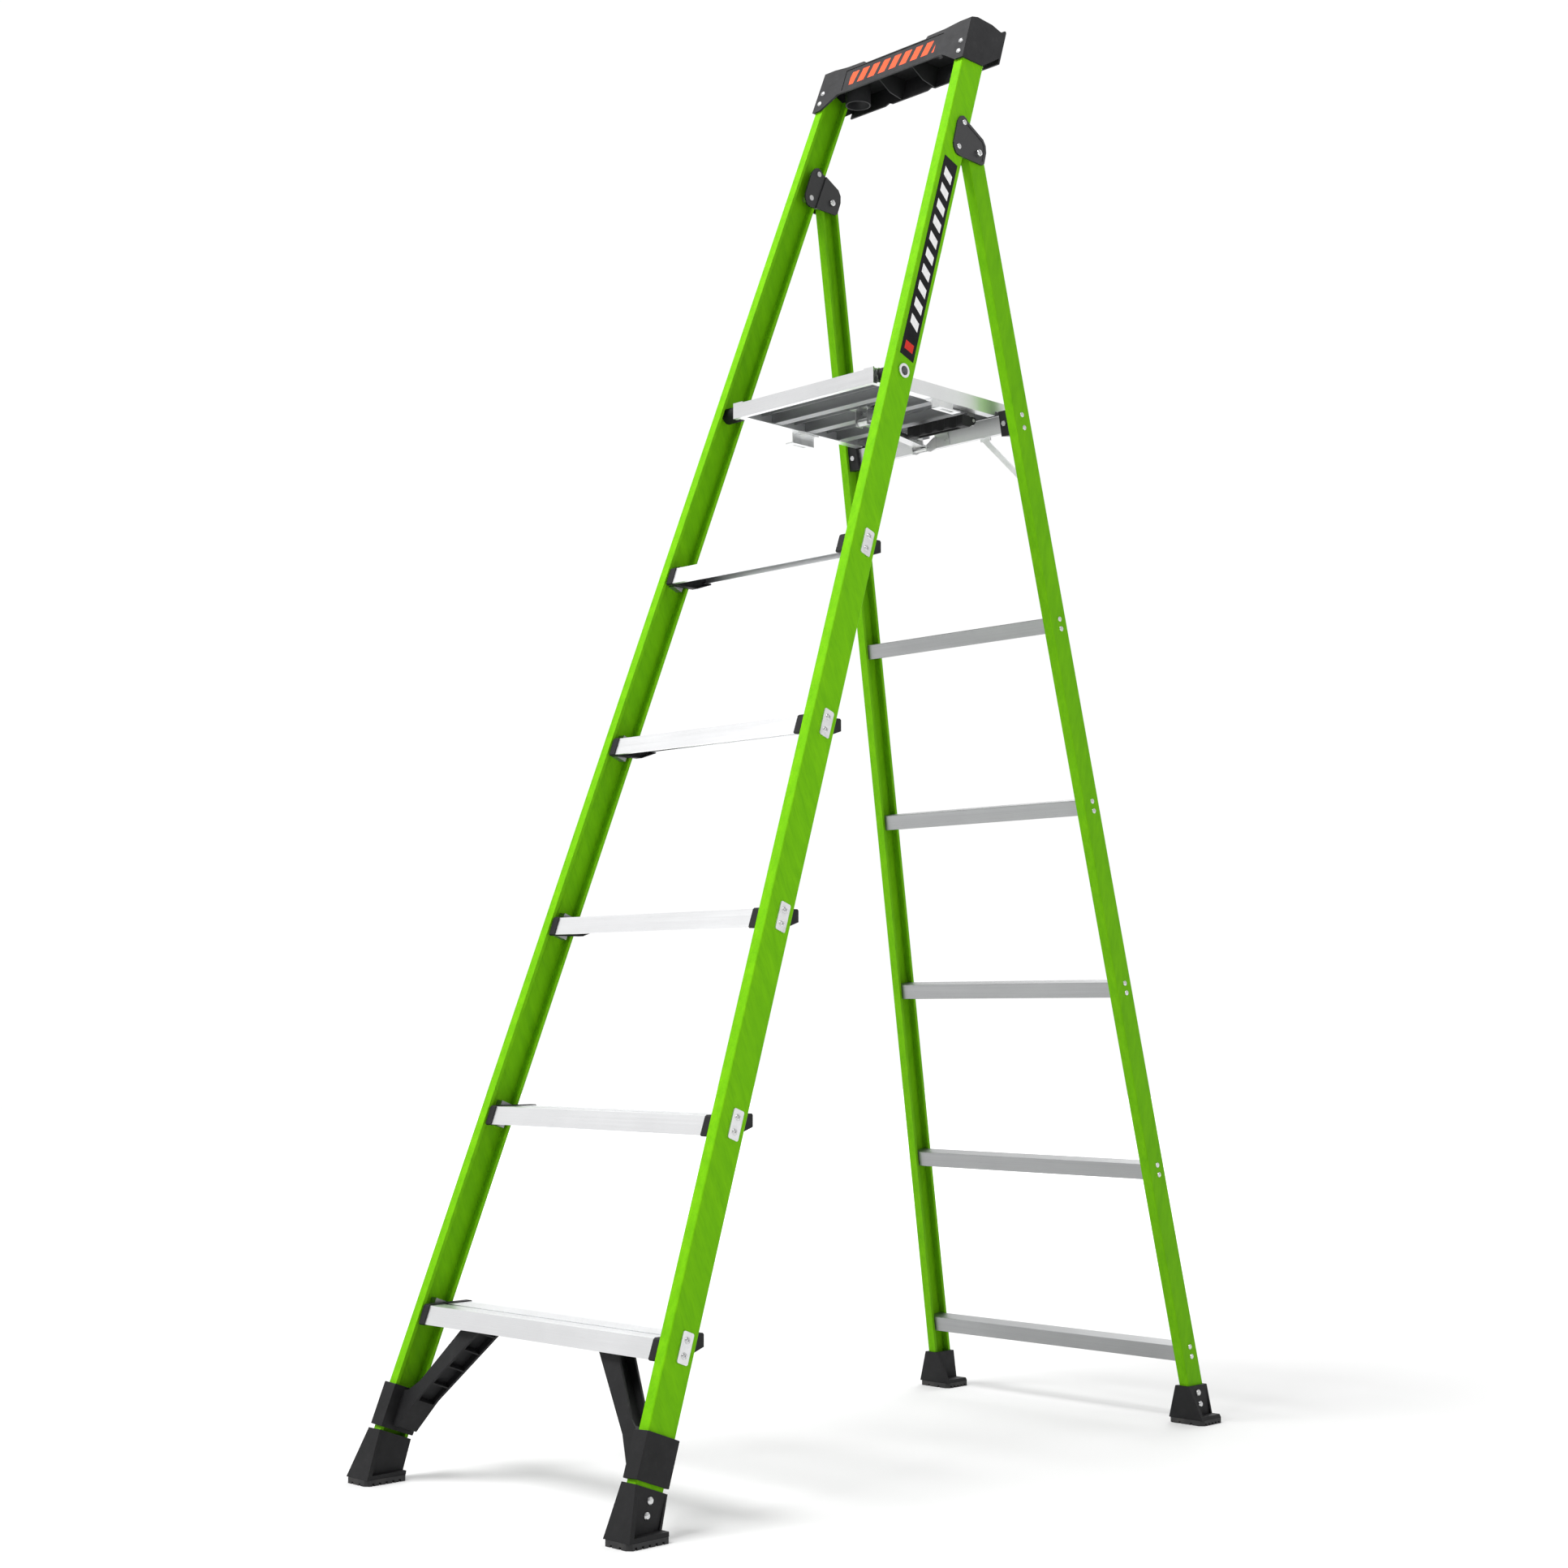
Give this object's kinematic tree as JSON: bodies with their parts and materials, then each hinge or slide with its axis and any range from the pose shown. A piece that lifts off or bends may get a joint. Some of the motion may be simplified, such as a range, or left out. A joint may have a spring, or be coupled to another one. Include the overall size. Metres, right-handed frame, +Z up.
{
  "type": "platform step ladder",
  "caption": "Folding platform step ladder: fibreglass rails, metal treads, a large standing platform, a tool-tray top cap and a hinged rear frame.",
  "frame": {"origin": "centre of the footprint, on the floor", "axes": "+X to the ladder's right as seen from the climbing side, -Y towards the climber, +Z up"},
  "size_m": [0.658, 1.3878, 2.4755],
  "materials": {
    "rail_fibreglass": "pultruded fibreglass, semi-gloss, fine glass strands under the surface",
    "aluminium": "mill-finish extrusion, fine lengthwise lines",
    "black_plastic": "moulded, fine matt grain",
    "black_steel": "black powder coat",
    "zinc_steel": "bright zinc plate",
    "rubber": "ribbed anti-slip rubber",
    "label_film": "printed film, no text",
    "nylon": "plain nylon"
  },
  "bodies": {
    "front_frame": {"front_rail_left": "rail_fibreglass", "front_rail_right": "rail_fibreglass", "step_1": "aluminium", "step_2": "aluminium", "step_3": "aluminium", "step_4": "aluminium", "step_5": "aluminium", "step_end_caps": "black_plastic", "step_brackets": "aluminium", "step_anchor_plates": "aluminium", "step_rivets": "zinc_steel", "knee_brace_left": "black_plastic", "knee_brace_right": "black_plastic", "front_boot_left": "black_plastic", "front_boot_right": "black_plastic", "front_sole_pads": "rubber", "front_boot_rivets": "zinc_steel", "top_cap": "black_plastic", "cap_rivets": "zinc_steel", "hinge_plate_outer_left": "black_steel", "hinge_plate_outer_right": "black_steel", "hinge_plate_inner_left": "black_steel", "hinge_plate_inner_right": "black_steel", "hinge_rivets": "zinc_steel", "hinge_spacers": "zinc_steel", "hinge_pins": "zinc_steel", "platform_pivot_tubes": "aluminium", "platform_bushings": "black_plastic", "rail_labels": "label_film"},
    "rear_frame": {"rear_rail_left": "rail_fibreglass", "rear_rail_right": "rail_fibreglass", "rear_rung_1": "aluminium", "rear_rung_2": "aluminium", "rear_rung_3": "aluminium", "rear_rung_4": "aluminium", "rear_rung_5": "aluminium", "rung_end_plugs": "aluminium", "rung_rivets": "zinc_steel", "rear_boot_left": "black_plastic", "rear_boot_right": "black_plastic", "rear_sole_pads": "rubber", "rear_boot_rivets": "zinc_steel", "hinge_bushings": "nylon", "rear_beam": "aluminium", "beam_end_brackets": "black_plastic", "beam_fasteners": "zinc_steel", "beam_braces": "zinc_steel", "latch_keeper": "zinc_steel"},
    "platform": {"platform_planks": "aluminium", "platform_fascia": "aluminium", "platform_side_left": "aluminium", "platform_side_right": "aluminium", "tether_tabs": "zinc_steel", "platform_rivets": "zinc_steel", "latch_bracket": "zinc_steel", "handle_hangers": "zinc_steel"},
    "latch": {"latch_arm": "zinc_steel"},
    "handle": {"release_handle": "black_plastic"}
  },
  "joints": [
    {"name": "rear_fold", "type": "hinge", "parent": "front_frame", "child": "rear_frame", "pos_m": [0, 0.22126, 2.21718], "axis": [-1, 0, 0], "range_deg": [0, 31.3]},
    {"name": "platform_lift", "type": "hinge", "parent": "front_frame", "child": "platform", "pos_m": [0, -0.0025, 1.7775], "axis": [1, 0, 0], "range_deg": [0, 68.9]},
    {"name": "latch_swing", "type": "hinge", "parent": "platform", "child": "latch", "pos_m": [0, 0.1331, 1.7554], "axis": [1, 0, 0], "range_deg": [0, 6.3]},
    {"name": "handle_pull", "type": "hinge", "parent": "platform", "child": "handle", "pos_m": [0, 0.2591, 1.7544], "axis": [-1, 0, 0], "range_deg": [0, 10], "stiffness_Nm_per_rad": 0.6, "springref_deg": -20.05}
  ],
  "couplings": [
    {"joint": "platform_lift", "follows": "rear_fold", "ratio": 2.2},
    {"joint": "latch_swing", "follows": "rear_fold", "ratio": 0.2}
  ]
}
